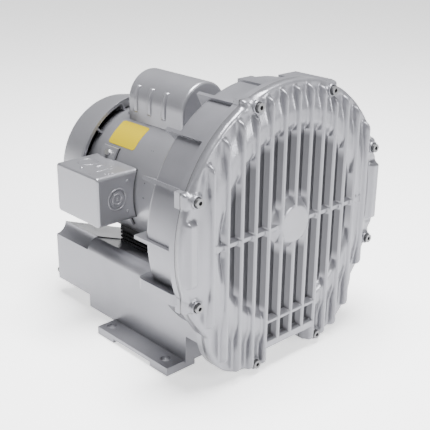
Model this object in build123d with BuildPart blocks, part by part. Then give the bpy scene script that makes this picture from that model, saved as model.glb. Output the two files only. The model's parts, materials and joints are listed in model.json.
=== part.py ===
"""Side channel blower with a close-coupled capacitor-start motor.

Millimetres, +Z up. The origin is on the floor plane at the centre of the four foot holes. The shaft
runs along Y: the finned cover faces -Y, the motor and the two ports face +Y.
"""
from build123d import *
import os
from math import cos, radians, sin, sqrt

os.makedirs("parts", exist_ok=True)

# ------------------------------------------------------------------ driving dimensions
# foot pattern and shaft line
shaft_height = 170.0
foot_spacing_x = 234.0
foot_spacing_y = 102.0
foot_hole_r = 6.0

# stations along the shaft, from the cover to the motor
seat_y = -127.0
cover_flange_t = 12.0
cover_gasket_t = 0.8
housing_flange_t = 8.0
drum_depth = 49.0
channel_wall = 7.0
rear_wall_t = 11.0
drum_rib_t = 4.0
drum_rib_height = 4.5
drum_rib_tail = 11.0
drum_rib_angles = (0.0, 24.0, 45.0, 115.0, 135.0, 156.0, 180.0)
collar_reach = 3.0
collar_width = 32.0
collar_t = 13.0
collar_z = -53.0
collar_corner_r = 9.0

# cover and housing outline
flange_r = 157.5
drum_step = 7.5
drum_r = flange_r - drum_step
drum_edge_r = 8.0
skirt_r = 60.0
skirt_half_width = 120.0
skirt_bottom = 163.0
rim_bottom = 151.0
rim_notch = 37.0

# cover screws
cover_screw_circle_r = drum_r
cover_screw_half_angle = 22.5
low_screw_x = 51.0
low_screw_z = 158.0
screw_boss_r = 8.0
cover_screw_length = 24.0
m6_r = 3.0
m6_head_r = 5.0
m6_head_h = 6.0
m8_r = 4.0
m8_head_r = 6.5
m8_head_h = 8.0
m4_r = 2.0
m4_head_r = 4.0
m4_head_h = 2.8

# side channel and impeller
channel_lip = 18.0
channel_width = 32.5
channel_out_r = flange_r - channel_lip
channel_in_r = channel_out_r - channel_width
channel_front_depth = 2.0
stripper_half_width = 34.0
axial_gap = 0.3
impeller_rim_gap = 4.5
impeller_rim_r = channel_out_r - impeller_rim_gap
impeller_width = 29.4
vane_count = 38
vane_t = 2.6
pocket_r = 14.0
pocket_offset = 1.5
land_width = 10.0
impeller_disc_t = 8.0
impeller_hub_r = 26.0
impeller_hub_length = 24.0
impeller_washer_t = 3.0
impeller_washer_r = 18.0

# cover form
fin_pitch = 20.2
fin_t = 4.0
fin_front = 8.0
fin_end_r = 9.0
fin_lip = 5.5
fin_circle_r = flange_r - fin_lip
fin_bottoms = (140.0, 140.0, 163.0, 162.0, 157.0, 137.0, 88.0)
flange_step = 2.0
web_depth = 12.0
web_t = 6.0
bulge_foot = 11.0
bulge_foot_r = channel_in_r - bulge_foot
bulge_rim_r = channel_out_r + bulge_foot / 2
bulge_front = 5.5
bulge_slope = 12.0
hub_disc_r = 21.0
hub_foot_r = 40.0
hub_front = 7.0
hub_pocket_r = 20.0
hub_pocket_depth = 13.0
cross_rib_t = 7.0
cross_rib_front = 4.0
low_rib_t = 6.5
low_rib_z = (-109.0, -138.0)
bump_lip = 16.1
bump_x = flange_r - bump_lip
bump_width = 8.0
bump_height = 71.0
bump_z = -5.5

# muffler body, feet and port block
muffler_half_width = 104.0
muffler_front_y = -71.0
muffler_length = 186.0
muffler_lift = 8.0
muffler_side_top = 86.0
shoulder_r = 16.0
ridge_x = 90.0
ridge_z = 100.0
valley_z = 67.0
throat_bottom = 42.0
throat_top = 70.0
duct_x = 54.0
duct_z = 58.0
duct_r = 15.5
tunnel_x = 62.0
tunnel_z = 52.0
tunnel_r = 26.0
tunnel_front_y = -61.0
liner_t = 6.2
liner_front_y = -50.0
foot_half_width = 130.0
foot_inner_x = 88.5
foot_front_y = -69.0
foot_length = 131.0
foot_pad_length = 31.0
foot_t = 10.0
foot_relief = 5.0
port_gasket_t = 1.5
port_block_length = 69.5
port_block_inset = 1.5
port_block_bottom = 23.0
scoop_r = 15.0
port_thread_r = 22.5
port_thread_length = 26.0
port_passage_r = 19.0
port_boss_r = 30.0
port_boss_h = 2.5
port_z = 55.0
port_screw_length = 84.0
port_screw_out_x = 96.0
port_screw_in_x = 14.0
port_screw_low_z = 31.0
port_screw_high_z = 58.0

# motor
shell_r = 81.0
shell_t = 3.0
shell_length = 171.0
bell_depth = 36.0
register_r = 40.0
register_t = 4.0
mount_screw_circle_r = 50.0
stator_length = 80.0
stator_bore_r = 45.0
stator_slots = 24
slot_width = 5.0
winding_in_r = 48.0
winding_out_r = 66.0
winding_length = 20.0
air_gap = 0.5
end_ring_t = 6.0
through_bolt_circle_r = 72.0
through_bolt_r = 2.5
rear_flange_t = 4.0
rear_bell_depth = 23.0

# shaft and bearings
impeller_seat_r = 10.0
front_journal_r = 12.5
core_seat_r = 14.0
rear_journal_r = 8.5
fan_seat_r = 8.0
front_bearing_r = 26.0
front_bearing_w = 15.0
front_ball_r = 3.9
rear_bearing_r = 20.0
rear_bearing_w = 12.0
rear_ball_r = 3.2
ball_count = 8
wave_spring_t = 2.0
seal_r = 19.0
seal_w = 6.0
key_side = 6.0
key_length = 18.0

# fan and fan cover
fan_r = 60.0
fan_hub_r = 18.0
fan_width = 20.0
fan_blades = 9
fan_blade_t = 2.4
fan_cover_front_r = 94.5
fan_cover_rear_r = 83.0
fan_cover_length = 60.0
fan_cover_lap = 4.0
fan_cover_t = 3.0
fan_cover_edge_r = 8.0
fan_cover_cut = 67.0
fan_cover_rim = 4.5
fan_boss_r = 5.0
fan_boss_circle_r = 74.0
fan_boss_angles = (20.0, 160.0, 215.0, 325.0)
grille_pitch = 12.0
grille_slot = 5.0
grille_r = 60.0
centring_rib_step = 30.0
centring_rib_angle = 17.5
centring_rib_t = 2.4
centring_rib_r = fan_cover_front_r - 1.5

# junction box on the left of the shell
box_front_y = 46.5
box_length = 83.5
box_height = 61.0
box_centre_z = 3.5
box_outer_x = -133.0
box_edge_r = 5.0
box_t = 2.0
box_gasket_t = 1.7
ear_t = 2.0
ear_length = 28.0
ear_reach = 13.0
ear_offset = 15.5
wire_hole_r = 9.0
knockout_r = 11.0
knockout_inset = 27.0
ground_screw_offset = 22.0
terminal_length = 40.0
terminal_width = 18.0

# capacitor cover on top of the shell
cap_front_y = 13.0
cap_length = 102.0
cap_half_width = 34.5
cap_top = 131.5
cap_t = 1.5
cap_edge_r = 4.0
cap_tab = 9.0
capacitor_r = 23.0
capacitor_length = 86.0

# rubber pads under the motor
pad_x = 45.0
pad_width = 18.0
pad_front_y = 12.0
pad_length = 100.0
pad_height = 48.0
pad_groove_pitch = 5.0
pad_groove_depth = 3.0

# named clearances
skin_gap = 0.3
press_gap = 0.03
running_gap = 0.05
hole_gap = 0.3

# ------------------------------------------------------------------ stations worked out from them
joint_y = seat_y + cover_flange_t
cover_back_y = joint_y - cover_gasket_t
flange_front_y = seat_y + flange_step
flange_rear_y = joint_y + housing_flange_t
drum_rear_y = flange_rear_y + drum_depth
collar_rear_y = drum_rear_y + drum_rib_tail
collar_outer_x = drum_r + collar_reach
channel_rear_y = drum_rear_y - channel_wall
channel_front_y = seat_y + channel_front_depth
web_front_y = seat_y + web_depth
web_back_y = web_front_y + web_t
impeller_front_y = web_back_y + axial_gap
impeller_rear_y = impeller_front_y + impeller_width
impeller_mid_y = (impeller_front_y + impeller_rear_y) / 2
land_y = impeller_rear_y + axial_gap
hub_rear_y = land_y - 2
hub_front_y = hub_rear_y - impeller_hub_length
bell_seat_y = land_y + rear_wall_t
shell_front_y = bell_seat_y + bell_depth
shell_rear_y = shell_front_y + shell_length
shell_bore_r = shell_r - shell_t
spigot_r = shell_bore_r - skin_gap
stator_front_y = shell_front_y + 47
stator_rear_y = stator_front_y + stator_length
rotor_r = stator_bore_r - air_gap
front_bearing_y = bell_seat_y + 12
rear_bearing_y = shell_rear_y + 5
rear_pocket_y = rear_bearing_y + rear_bearing_w + wave_spring_t
rear_flange_y = shell_rear_y + rear_flange_t
rear_bell_y = shell_rear_y + rear_bell_depth
fan_front_y = rear_bell_y + 3
shaft_rear_y = fan_front_y + fan_width + 3
fan_cover_front_y = shell_rear_y - fan_cover_lap
fan_cover_rear_y = fan_cover_front_y + fan_cover_length
muffler_rear_y = muffler_front_y + muffler_length
port_block_front_y = muffler_rear_y + port_gasket_t
port_block_rear_y = port_block_front_y + port_block_length
box_mid_y = box_front_y + box_length / 2
saddle_foot_r = shell_r + skin_gap
saddle_r = saddle_foot_r + box_gasket_t
cap_rear_y = cap_front_y + cap_length
pad_rear_y = pad_front_y + pad_length
pad_mid_z = (ridge_z + valley_z) / 2 - shaft_height + 7
cap_centre_z = cap_top - cap_half_width

shaft_axis = Axis((0, 0, shaft_height), (0, 1, 0))
section = Plane(origin=(0, 0, shaft_height), x_dir=(0, 1, 0), z_dir=(1, 0, 0))


def shaft_plane(y):
    """Plane across the shaft at station y: local (x, z from the shaft), normal towards the cover."""
    return Plane(origin=(0, y, shaft_height), x_dir=(1, 0, 0), z_dir=(0, -1, 0))


def floor_section(y):
    """The same plane with its origin on the floor."""
    return Plane(origin=(0, y, 0), x_dir=(1, 0, 0), z_dir=(0, -1, 0))


def side_plane(x):
    """Plane beside the shaft at position x: local (y, z from the shaft), normal +X."""
    return Plane(origin=(x, 0, shaft_height), x_dir=(0, 1, 0), z_dir=(1, 0, 0))


def radial_plane(y, angle, radius):
    """Plane square to a radius of the shaft, angle in degrees from +X towards +Z, normal outwards."""
    direction = (cos(radians(angle)), 0, sin(radians(angle)))
    origin = (radius * direction[0], y, shaft_height + radius * direction[2])
    return Plane(origin=origin, x_dir=(0, 1, 0), z_dir=direction)


def ring(front, rear, outer, inner=0.0, mode=Mode.ADD):
    """Ring or disc about the shaft between two stations, joined to or cut from the open part."""
    with BuildSketch(shaft_plane(rear)) as face:
        Circle(outer)
        if inner > 0:
            Circle(inner, mode=Mode.SUBTRACT)
    extrude(face.sketch, amount=rear - front, mode=mode)


def rods(points, front, rear, radius, mode=Mode.ADD):
    """Round rods parallel to the shaft at (x, z from the shaft) points."""
    with BuildSketch(shaft_plane(rear)) as face:
        with Locations(*points):
            Circle(radius)
    extrude(face.sketch, amount=rear - front, mode=mode)


def bars(points, width, height, front, rear, mode=Mode.ADD):
    """Upright square bars parallel to the shaft at (x, z from the shaft) points."""
    with BuildSketch(shaft_plane(rear)) as face:
        with Locations(*points):
            Rectangle(width, height)
    extrude(face.sketch, amount=rear - front, mode=mode)


def spun(points, mode=Mode.ADD):
    """Body of revolution about the shaft from (station, radius) points."""
    with BuildSketch(section) as face:
        with BuildLine():
            Polyline(*points, close=True)
        make_face()
    revolve(face.sketch, axis=shaft_axis, mode=mode)


def radial_rod(y, angle, inner, outer, radius, mode=Mode.ADD):
    """Round rod along a radius of the shaft."""
    with BuildSketch(radial_plane(y, angle, inner)) as face:
        Circle(radius)
    extrude(face.sketch, amount=outer - inner, mode=mode)


def circle_points(radius, angles):
    """Points on a circle about the shaft, angles in degrees from +X towards +Z."""
    return [(radius * cos(radians(a)), radius * sin(radians(a))) for a in angles]


def socket_screws(points, seat, length, radius, head_radius, head_height):
    """Socket head screws that point towards +Y, heads in front of the seat, with hexagon sockets."""
    rods(points, seat, seat + length, radius)
    rods(points, seat - head_height, seat, head_radius)
    with BuildSketch(shaft_plane(seat - head_height)) as sockets:
        with Locations(*points):
            RegularPolygon(head_radius / 2, 6)
    extrude(sockets.sketch, amount=-head_height / 2, mode=Mode.SUBTRACT)


def save(part, label):
    """Label a finished piece and write its STEP file."""
    part.part.label = label
    export_step(part.part, f"parts/{label}.step")


# ------------------------------------------------------------------ shared screw points and outlines
rim_screw_angles = [a + s * cover_screw_half_angle for a in (90, 180, 0) for s in (-1, 1)]
rim_screw_points = circle_points(cover_screw_circle_r, rim_screw_angles)
low_screw_points = [(-low_screw_x, -low_screw_z), (low_screw_x, -low_screw_z)]
cover_screw_points = rim_screw_points + low_screw_points
top_lug_points = rim_screw_points[:2]
side_lug_points = rim_screw_points[2:]
mount_screw_points = circle_points(mount_screw_circle_r, (45, 135, 225, 315))
through_bolt_points = circle_points(through_bolt_circle_r, (45, 135, 225, 315))
fan_boss_points = circle_points(fan_boss_circle_r, fan_boss_angles)
port_screw_points = [(s * x, z - shaft_height) for s in (-1, 1)
                     for x, z in ((port_screw_out_x, port_screw_low_z),
                                  (port_screw_in_x, port_screw_low_z),
                                  (port_screw_in_x, port_screw_high_z))]
tunnel_points = [(-tunnel_x, tunnel_z - shaft_height), (tunnel_x, tunnel_z - shaft_height)]
port_points = [(-tunnel_x, port_z - shaft_height), (tunnel_x, port_z - shaft_height)]
duct_points = [(-duct_x, duct_z - shaft_height), (duct_x, duct_z - shaft_height)]


def flange_face(y):
    """Outline of the joint: round rim, wider skirt below, notch under the middle, low lugs."""
    with BuildSketch(shaft_plane(y)) as face:
        Circle(flange_r)
        with Locations((0, skirt_r - skirt_bottom)):
            SlotCenterToCenter(2 * (skirt_half_width - skirt_r), 2 * skirt_r)
        with Locations((0, -rim_bottom)):
            Rectangle(2 * rim_notch, 20, align=(Align.CENTER, Align.MAX), mode=Mode.SUBTRACT)
        with Locations(*low_screw_points):
            Circle(screw_boss_r)
        with Locations(*top_lug_points):
            Rectangle(29, 15)
        with Locations(*side_lug_points):
            Rectangle(23, 17)
    return face.sketch


def stripper_face(y, inner, outer):
    """Bottom piece of the channel ring, which the stripper fills between inlet and outlet."""
    with BuildSketch(shaft_plane(y)) as face:
        Circle(outer)
        Circle(inner, mode=Mode.SUBTRACT)
        with Locations((0, -outer)):
            Rectangle(2 * stripper_half_width, 2 * outer, mode=Mode.INTERSECT)
        with Locations((0, 0)):
            Rectangle(2 * outer, 2 * outer, align=(Align.CENTER, Align.MIN), mode=Mode.SUBTRACT)
    return face.sketch


def cradle_face(y, half_width, bottom, top_x, bend):
    """Section of the muffler body or port block: low in the middle to clear the motor."""
    with BuildSketch(floor_section(y)) as face:
        with BuildLine():
            Polyline((0, bottom), (half_width, bottom), (half_width, muffler_side_top))
            RadiusArc((half_width, muffler_side_top), (top_x, ridge_z), bend)
            Line((top_x, ridge_z), (0, valley_z))
            mirror(about=Plane.YZ)
        make_face()
    return face.sketch


# ------------------------------------------------------------------ housing casting
with BuildPart() as blower_housing:
    ring(joint_y, drum_rear_y, drum_r)
    fillet(edges().filter_by(GeomType.CIRCLE).group_by(Axis.Y)[-1], drum_edge_r)
    extrude(flange_face(flange_rear_y), amount=housing_flange_t)
    rods(low_screw_points, joint_y, flange_rear_y + 9, screw_boss_r)

    # raised bars on top of the drum, and thin ribs with a gusset behind its rear wall
    bars([(-10.5, drum_r - 5)], 21, 12, joint_y, drum_rear_y - 3)
    bars([top_lug_points[0]], 29, 15, joint_y, drum_rear_y - 3)
    rib_root_r = drum_r - drum_edge_r - 6
    with BuildSketch(shaft_plane(drum_rear_y + drum_rib_tail)) as ribs:
        for angle in drum_rib_angles:
            middle_r = (rib_root_r + drum_r + drum_rib_height) / 2
            with Locations(*circle_points(middle_r, [angle])):
                Rectangle(drum_r + drum_rib_height - rib_root_r, drum_rib_t, rotation=angle)
    extrude(ribs.sketch, amount=drum_rib_tail + drum_depth)

    # rounded collars behind the two lower side lugs
    collar_length = collar_rear_y - flange_rear_y + 4
    with BuildSketch(Plane.XY.offset(shaft_height + collar_z + collar_t / 2)) as collars:
        for side in (-1, 1):
            with Locations((side * (collar_outer_x - collar_width / 2),
                            collar_rear_y - collar_length / 2)):
                RectangleRounded(collar_width, collar_length, collar_corner_r)
    extrude(collars.sketch, amount=-collar_t)

    # throat under the drum, muffler body behind it, and the feet
    with BuildSketch(floor_section(muffler_front_y)) as throat:
        with Locations((0, throat_bottom)):
            Rectangle(2 * muffler_half_width, throat_top - throat_bottom,
                      align=(Align.CENTER, Align.MIN))
    extrude(throat.sketch, amount=muffler_front_y - flange_rear_y + 1)
    extrude(cradle_face(muffler_rear_y, muffler_half_width, muffler_lift, ridge_x, -shoulder_r),
            amount=muffler_length)
    for side in (-1, 1):
        foot_mid_x = side * (foot_half_width + foot_inner_x) / 2
        with BuildSketch(Plane.XY.offset(foot_t)) as foot:
            with Locations((foot_mid_x, foot_front_y + foot_length / 2)):
                Rectangle(foot_half_width - foot_inner_x, foot_length)
        extrude(foot.sketch, amount=-foot_t)
        with BuildSketch(Plane.XY) as relief:
            with Locations((foot_mid_x, foot_front_y + foot_length / 2)):
                Rectangle(foot_half_width - foot_inner_x + 2, foot_length - 2 * foot_pad_length)
        extrude(relief.sketch, amount=foot_relief, mode=Mode.SUBTRACT)
    with BuildSketch(Plane.XY) as foot_holes:
        with GridLocations(foot_spacing_x, foot_spacing_y, 2, 2):
            Circle(foot_hole_r)
    extrude(foot_holes.sketch, amount=foot_t, mode=Mode.SUBTRACT)

    # impeller chamber with the channel round its rim, and the recess for the motor bell
    ring(joint_y, land_y, channel_out_r, mode=Mode.SUBTRACT)
    ring(land_y, channel_rear_y, channel_out_r, channel_in_r, mode=Mode.SUBTRACT)
    ring(bell_seat_y, drum_rear_y, channel_in_r - channel_wall - 2, mode=Mode.SUBTRACT)
    extrude(stripper_face(channel_rear_y + 1, channel_in_r - 1, channel_out_r + 1),
            amount=channel_rear_y + 1 - land_y)
    extrude(stripper_face(land_y, impeller_rim_r + axial_gap, channel_out_r + 1),
            amount=land_y - impeller_front_y)

    # ducts from the channel into the two muffler tunnels
    rods(duct_points, channel_rear_y - 6, tunnel_front_y, duct_r, mode=Mode.SUBTRACT)
    rods(tunnel_points, tunnel_front_y, muffler_rear_y, tunnel_r, mode=Mode.SUBTRACT)

    # seal bore, bell register and screw holes
    ring(land_y, land_y + seal_w, seal_r, mode=Mode.SUBTRACT)
    ring(land_y, bell_seat_y, seal_r - 3, mode=Mode.SUBTRACT)
    ring(bell_seat_y - register_t, bell_seat_y, register_r, mode=Mode.SUBTRACT)
    rods(mount_screw_points, land_y, bell_seat_y, m6_r + hole_gap, mode=Mode.SUBTRACT)
    rods(mount_screw_points, land_y, land_y + m6_head_h + hole_gap, m6_head_r + hole_gap,
         mode=Mode.SUBTRACT)
    rods(cover_screw_points, joint_y, seat_y + cover_screw_length + 1, m6_r + hole_gap,
         mode=Mode.SUBTRACT)
    rods(port_screw_points, port_block_rear_y - port_screw_length - 1, muffler_rear_y,
         m6_r + hole_gap, mode=Mode.SUBTRACT)
save(blower_housing, "blower_housing")

# ------------------------------------------------------------------ finned cover
with BuildPart() as front_cover:
    extrude(flange_face(joint_y), amount=joint_y - flange_front_y)
    ring(flange_front_y, joint_y, drum_r, mode=Mode.SUBTRACT)
    crest_y = seat_y - bulge_front
    spun([(web_front_y, 0), (web_front_y, bulge_foot_r), (crest_y + 4, bulge_foot_r + 7),
          (crest_y, bulge_foot_r + bulge_slope), (crest_y, bulge_rim_r - 1.4 * bulge_slope),
          (crest_y + 2, bulge_rim_r - 0.7 * bulge_slope), (flange_front_y, bulge_rim_r),
          (flange_front_y, drum_r), (joint_y, drum_r), (joint_y, channel_in_r),
          (web_back_y, channel_in_r), (web_back_y, 0)])
    rods(cover_screw_points, seat_y, flange_front_y, screw_boss_r)

    # hub with its cone, then the cross ribs
    spun([(seat_y - hub_front, 0), (seat_y - hub_front, hub_disc_r), (web_front_y, hub_foot_r),
          (web_front_y, 0)])
    bars([(0, 0)], 12 * fin_pitch, cross_rib_t, seat_y - cross_rib_front, web_front_y)
    bars([(0, z) for z in low_rib_z], 4 * fin_pitch, low_rib_t, seat_y - fin_front + 1, web_front_y)
    for side in (-1, 1):
        bars([(side * bump_x, bump_z)], bump_width, bump_height, seat_y - cross_rib_front, joint_y)

    # upright cooling fins: each is a plate whose front corners are rounded off to the rim, and
    # the two in line with the top screws stop below them
    for step in range(-6, 7):
        top = sqrt(fin_circle_r ** 2 - (step * fin_pitch) ** 2)
        if abs(step) == 3:
            top = top_lug_points[0][1] - screw_boss_r
        bottom = -fin_bottoms[abs(step)]
        with BuildSketch(side_plane(step * fin_pitch)) as fin:
            with Locations((seat_y - fin_front, bottom)):
                Rectangle(fin_front + web_depth, top - bottom, align=(Align.MIN, Align.MIN))
            fillet(fin.vertices().group_by(Axis.Y)[0], fin_end_r)
        extrude(fin.sketch, amount=fin_t / 2, both=True)

    # side channel, stripper land, hub pocket, and the flat joint face
    ring(channel_front_y, web_back_y, channel_out_r, channel_in_r, mode=Mode.SUBTRACT)
    extrude(stripper_face(web_back_y, channel_in_r - 1, channel_out_r - skin_gap),
            amount=web_back_y - channel_front_y + 1)
    ring(cover_back_y, joint_y, flange_r + 30, channel_out_r - skin_gap, mode=Mode.SUBTRACT)
    ring(web_back_y - hub_pocket_depth, web_back_y, hub_pocket_r, mode=Mode.SUBTRACT)
    rods(cover_screw_points, seat_y, cover_back_y, m6_r + hole_gap, mode=Mode.SUBTRACT)
save(front_cover, "front_cover")

with BuildPart() as cover_gasket:
    extrude(flange_face(joint_y), amount=cover_gasket_t)
    ring(cover_back_y, joint_y, channel_out_r + 2, mode=Mode.SUBTRACT)
    rods(cover_screw_points, cover_back_y, joint_y, m6_r + hole_gap, mode=Mode.SUBTRACT)
save(cover_gasket, "cover_gasket")

with BuildPart() as cover_screws:
    socket_screws(cover_screw_points, seat_y, cover_screw_length, m6_r, m6_head_r, m6_head_h)
save(cover_screws, "cover_screws")

# ------------------------------------------------------------------ impeller and its fixings
with BuildPart() as impeller:
    ring(hub_front_y, hub_rear_y, impeller_hub_r)
    ring(impeller_mid_y - impeller_disc_t / 2, impeller_mid_y + impeller_disc_t / 2, channel_in_r)
    ring(impeller_front_y, impeller_rear_y, channel_in_r, channel_in_r - land_width)
    pocket_mid_r = (channel_in_r + impeller_rim_r) / 2
    with BuildSketch(section) as vane_root:
        with Locations(((impeller_front_y + impeller_rear_y) / 2, pocket_mid_r)):
            Rectangle(impeller_width, impeller_rim_r - channel_in_r)
        with Locations((impeller_front_y - pocket_offset, pocket_mid_r),
                       (impeller_rear_y + pocket_offset, pocket_mid_r)):
            Circle(pocket_r, mode=Mode.SUBTRACT)
    revolve(vane_root.sketch, axis=shaft_axis)
    with BuildSketch(shaft_plane(impeller_rear_y)) as vanes:
        with PolarLocations(pocket_mid_r, vane_count):
            Rectangle(impeller_rim_r - channel_in_r - 0.4, vane_t)
    extrude(vanes.sketch, amount=impeller_width)
    ring(hub_front_y, hub_rear_y, impeller_seat_r + press_gap, mode=Mode.SUBTRACT)
    bars([(0, impeller_seat_r)], key_side + 2 * press_gap, key_side + 0.4, hub_front_y, hub_rear_y,
         mode=Mode.SUBTRACT)
save(impeller, "impeller")

with BuildPart() as impeller_key:
    bars([(0, impeller_seat_r)], key_side, key_side, hub_rear_y - 2 - key_length, hub_rear_y - 2)
save(impeller_key, "impeller_key")

with BuildPart() as impeller_washer:
    ring(hub_front_y - impeller_washer_t, hub_front_y, impeller_washer_r, m8_r + hole_gap)
save(impeller_washer, "impeller_washer")

with BuildPart() as impeller_screw:
    socket_screws([(0, 0)], hub_front_y - impeller_washer_t, 22, m8_r, m8_head_r, m8_head_h)
save(impeller_screw, "impeller_screw")

# ------------------------------------------------------------------ shaft, rotor and bearings
with BuildPart() as motor_shaft:
    spun([(hub_front_y + 1, 0), (hub_front_y + 1, impeller_seat_r), (hub_rear_y, impeller_seat_r),
          (hub_rear_y, front_journal_r), (front_bearing_y + front_bearing_w, front_journal_r),
          (front_bearing_y + front_bearing_w, core_seat_r), (stator_rear_y + 2, core_seat_r),
          (stator_rear_y + 2, 11), (rear_bearing_y, 11), (rear_bearing_y, rear_journal_r),
          (rear_pocket_y, rear_journal_r), (rear_pocket_y, fan_seat_r), (shaft_rear_y, fan_seat_r),
          (shaft_rear_y, 0)])
    ring(hub_front_y + 1, hub_front_y + 21, m8_r + hole_gap, mode=Mode.SUBTRACT)
    bars([(0, impeller_seat_r)], key_side + 2 * press_gap, key_side + 2 * press_gap,
         hub_rear_y - 2 - key_length - press_gap, hub_rear_y - 2 + press_gap, mode=Mode.SUBTRACT)
save(motor_shaft, "motor_shaft")

with BuildPart() as rotor_core:
    ring(stator_front_y, stator_rear_y, rotor_r, core_seat_r + press_gap)
save(rotor_core, "rotor_core")

with BuildPart() as rotor_end_rings:
    ring(stator_front_y - end_ring_t, stator_front_y, rotor_r - 2, rotor_r - 16)
    ring(stator_rear_y, stator_rear_y + end_ring_t, rotor_r - 2, rotor_r - 16)
save(rotor_end_rings, "rotor_end_rings")


def race(front, width, inner, outer, pitch, ball):
    """Bearing ring with the ball groove at the pitch radius."""
    with BuildSketch(section) as face:
        with Locations((front + width / 2, (inner + outer) / 2)):
            Rectangle(width, outer - inner)
        with Locations((front + width / 2, pitch)):
            Circle(ball + running_gap, mode=Mode.SUBTRACT)
    revolve(face.sketch, axis=shaft_axis)


def balls(front, width, pitch, ball):
    """Ring of separate bearing balls."""
    middle = Plane(origin=(0, front + width / 2, shaft_height), x_dir=(1, 0, 0), z_dir=(0, -1, 0))
    with Locations(middle):
        with PolarLocations(pitch, ball_count):
            Sphere(ball)


front_pitch_r = (front_journal_r + front_bearing_r) / 2
rear_pitch_r = (rear_journal_r + rear_bearing_r) / 2

with BuildPart() as front_bearing_outer:
    race(front_bearing_y, front_bearing_w, front_pitch_r + 2.2, front_bearing_r, front_pitch_r,
         front_ball_r)
save(front_bearing_outer, "front_bearing_outer")

with BuildPart() as front_bearing_inner:
    race(front_bearing_y, front_bearing_w, front_journal_r + press_gap, front_pitch_r - 2.2,
         front_pitch_r, front_ball_r)
save(front_bearing_inner, "front_bearing_inner")

with BuildPart() as front_bearing_balls:
    balls(front_bearing_y, front_bearing_w, front_pitch_r, front_ball_r)
save(front_bearing_balls, "front_bearing_balls")

with BuildPart() as rear_bearing_outer:
    race(rear_bearing_y, rear_bearing_w, rear_pitch_r + 1.8, rear_bearing_r, rear_pitch_r,
         rear_ball_r)
save(rear_bearing_outer, "rear_bearing_outer")

with BuildPart() as rear_bearing_inner:
    race(rear_bearing_y, rear_bearing_w, rear_journal_r + press_gap, rear_pitch_r - 1.8,
         rear_pitch_r, rear_ball_r)
save(rear_bearing_inner, "rear_bearing_inner")

with BuildPart() as rear_bearing_balls:
    balls(rear_bearing_y, rear_bearing_w, rear_pitch_r, rear_ball_r)
save(rear_bearing_balls, "rear_bearing_balls")

with BuildPart() as wave_spring:
    ring(rear_pocket_y - wave_spring_t, rear_pocket_y, rear_bearing_r - 0.5, rear_bearing_r - 3.5)
save(wave_spring, "wave_spring")

with BuildPart() as shaft_seal:
    ring(land_y, land_y + seal_w, seal_r - press_gap, front_journal_r + running_gap)
save(shaft_seal, "shaft_seal")

# ------------------------------------------------------------------ stator, shell and end bells
with BuildPart() as stator_core:
    ring(stator_front_y, stator_rear_y, spigot_r, stator_bore_r)
    with BuildSketch(shaft_plane(stator_rear_y)) as slots:
        with PolarLocations((stator_bore_r + winding_out_r) / 2, stator_slots):
            Rectangle(winding_out_r - stator_bore_r + 2, slot_width)
    extrude(slots.sketch, amount=stator_length, mode=Mode.SUBTRACT)
    rods(through_bolt_points, stator_front_y, stator_rear_y, through_bolt_r + hole_gap,
         mode=Mode.SUBTRACT)
save(stator_core, "stator_core")

with BuildPart() as stator_windings:
    ring(stator_front_y - winding_length, stator_front_y, winding_out_r, winding_in_r)
    ring(stator_rear_y, stator_rear_y + winding_length, winding_out_r, winding_in_r)
    outer_ends = edges().filter_by(GeomType.CIRCLE).group_by(Axis.Y)
    fillet(outer_ends[0] + outer_ends[-1], 5)
save(stator_windings, "stator_windings")

ear_y = (box_mid_y + ear_offset, box_mid_y - ear_offset)
ear_angles = (180 - 28.5, 180 + 23.3)
cap_screw_y = (cap_front_y - cap_tab / 2, cap_rear_y + cap_tab / 2)

with BuildPart() as motor_shell:
    ring(shell_front_y, shell_rear_y, shell_r, shell_bore_r)
    radial_rod(box_mid_y, 180, shell_bore_r - 4, shell_r + 2, wire_hole_r, mode=Mode.SUBTRACT)
    radial_rod(cap_front_y + cap_length / 2, 90, shell_bore_r - 4, shell_r + 2, 5,
               mode=Mode.SUBTRACT)
    for y, angle in zip(ear_y, ear_angles):
        radial_rod(y, angle, shell_bore_r - 2, shell_r + 2, m4_r + hole_gap, mode=Mode.SUBTRACT)
    for y in cap_screw_y:
        radial_rod(y, 90, shell_bore_r - 2, shell_r + 2, m4_r + hole_gap, mode=Mode.SUBTRACT)
save(motor_shell, "motor_shell")

with BuildPart() as front_end_bell:
    pocket_wall_r = front_bearing_r + press_gap
    spun([(bell_seat_y - register_t, 15), (bell_seat_y - register_t, register_r - skin_gap),
          (bell_seat_y, register_r - skin_gap), (bell_seat_y, 70), (bell_seat_y + 14, shell_r),
          (shell_front_y, shell_r), (shell_front_y, spigot_r), (shell_front_y + 6, spigot_r),
          (shell_front_y + 6, 75), (bell_seat_y + 18, 75), (bell_seat_y + 8, 64),
          (bell_seat_y + 8, 33), (bell_seat_y + 28, 33), (bell_seat_y + 28, pocket_wall_r),
          (front_bearing_y, pocket_wall_r), (front_bearing_y, 15)])
    rods(through_bolt_points, bell_seat_y + 6, shell_front_y + 6, 5.5)
    rods(through_bolt_points, bell_seat_y + 14, shell_front_y + 6, through_bolt_r + hole_gap,
         mode=Mode.SUBTRACT)
    rods(mount_screw_points, bell_seat_y, bell_seat_y + 8, m6_r + hole_gap, mode=Mode.SUBTRACT)
save(front_end_bell, "front_end_bell")

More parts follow.
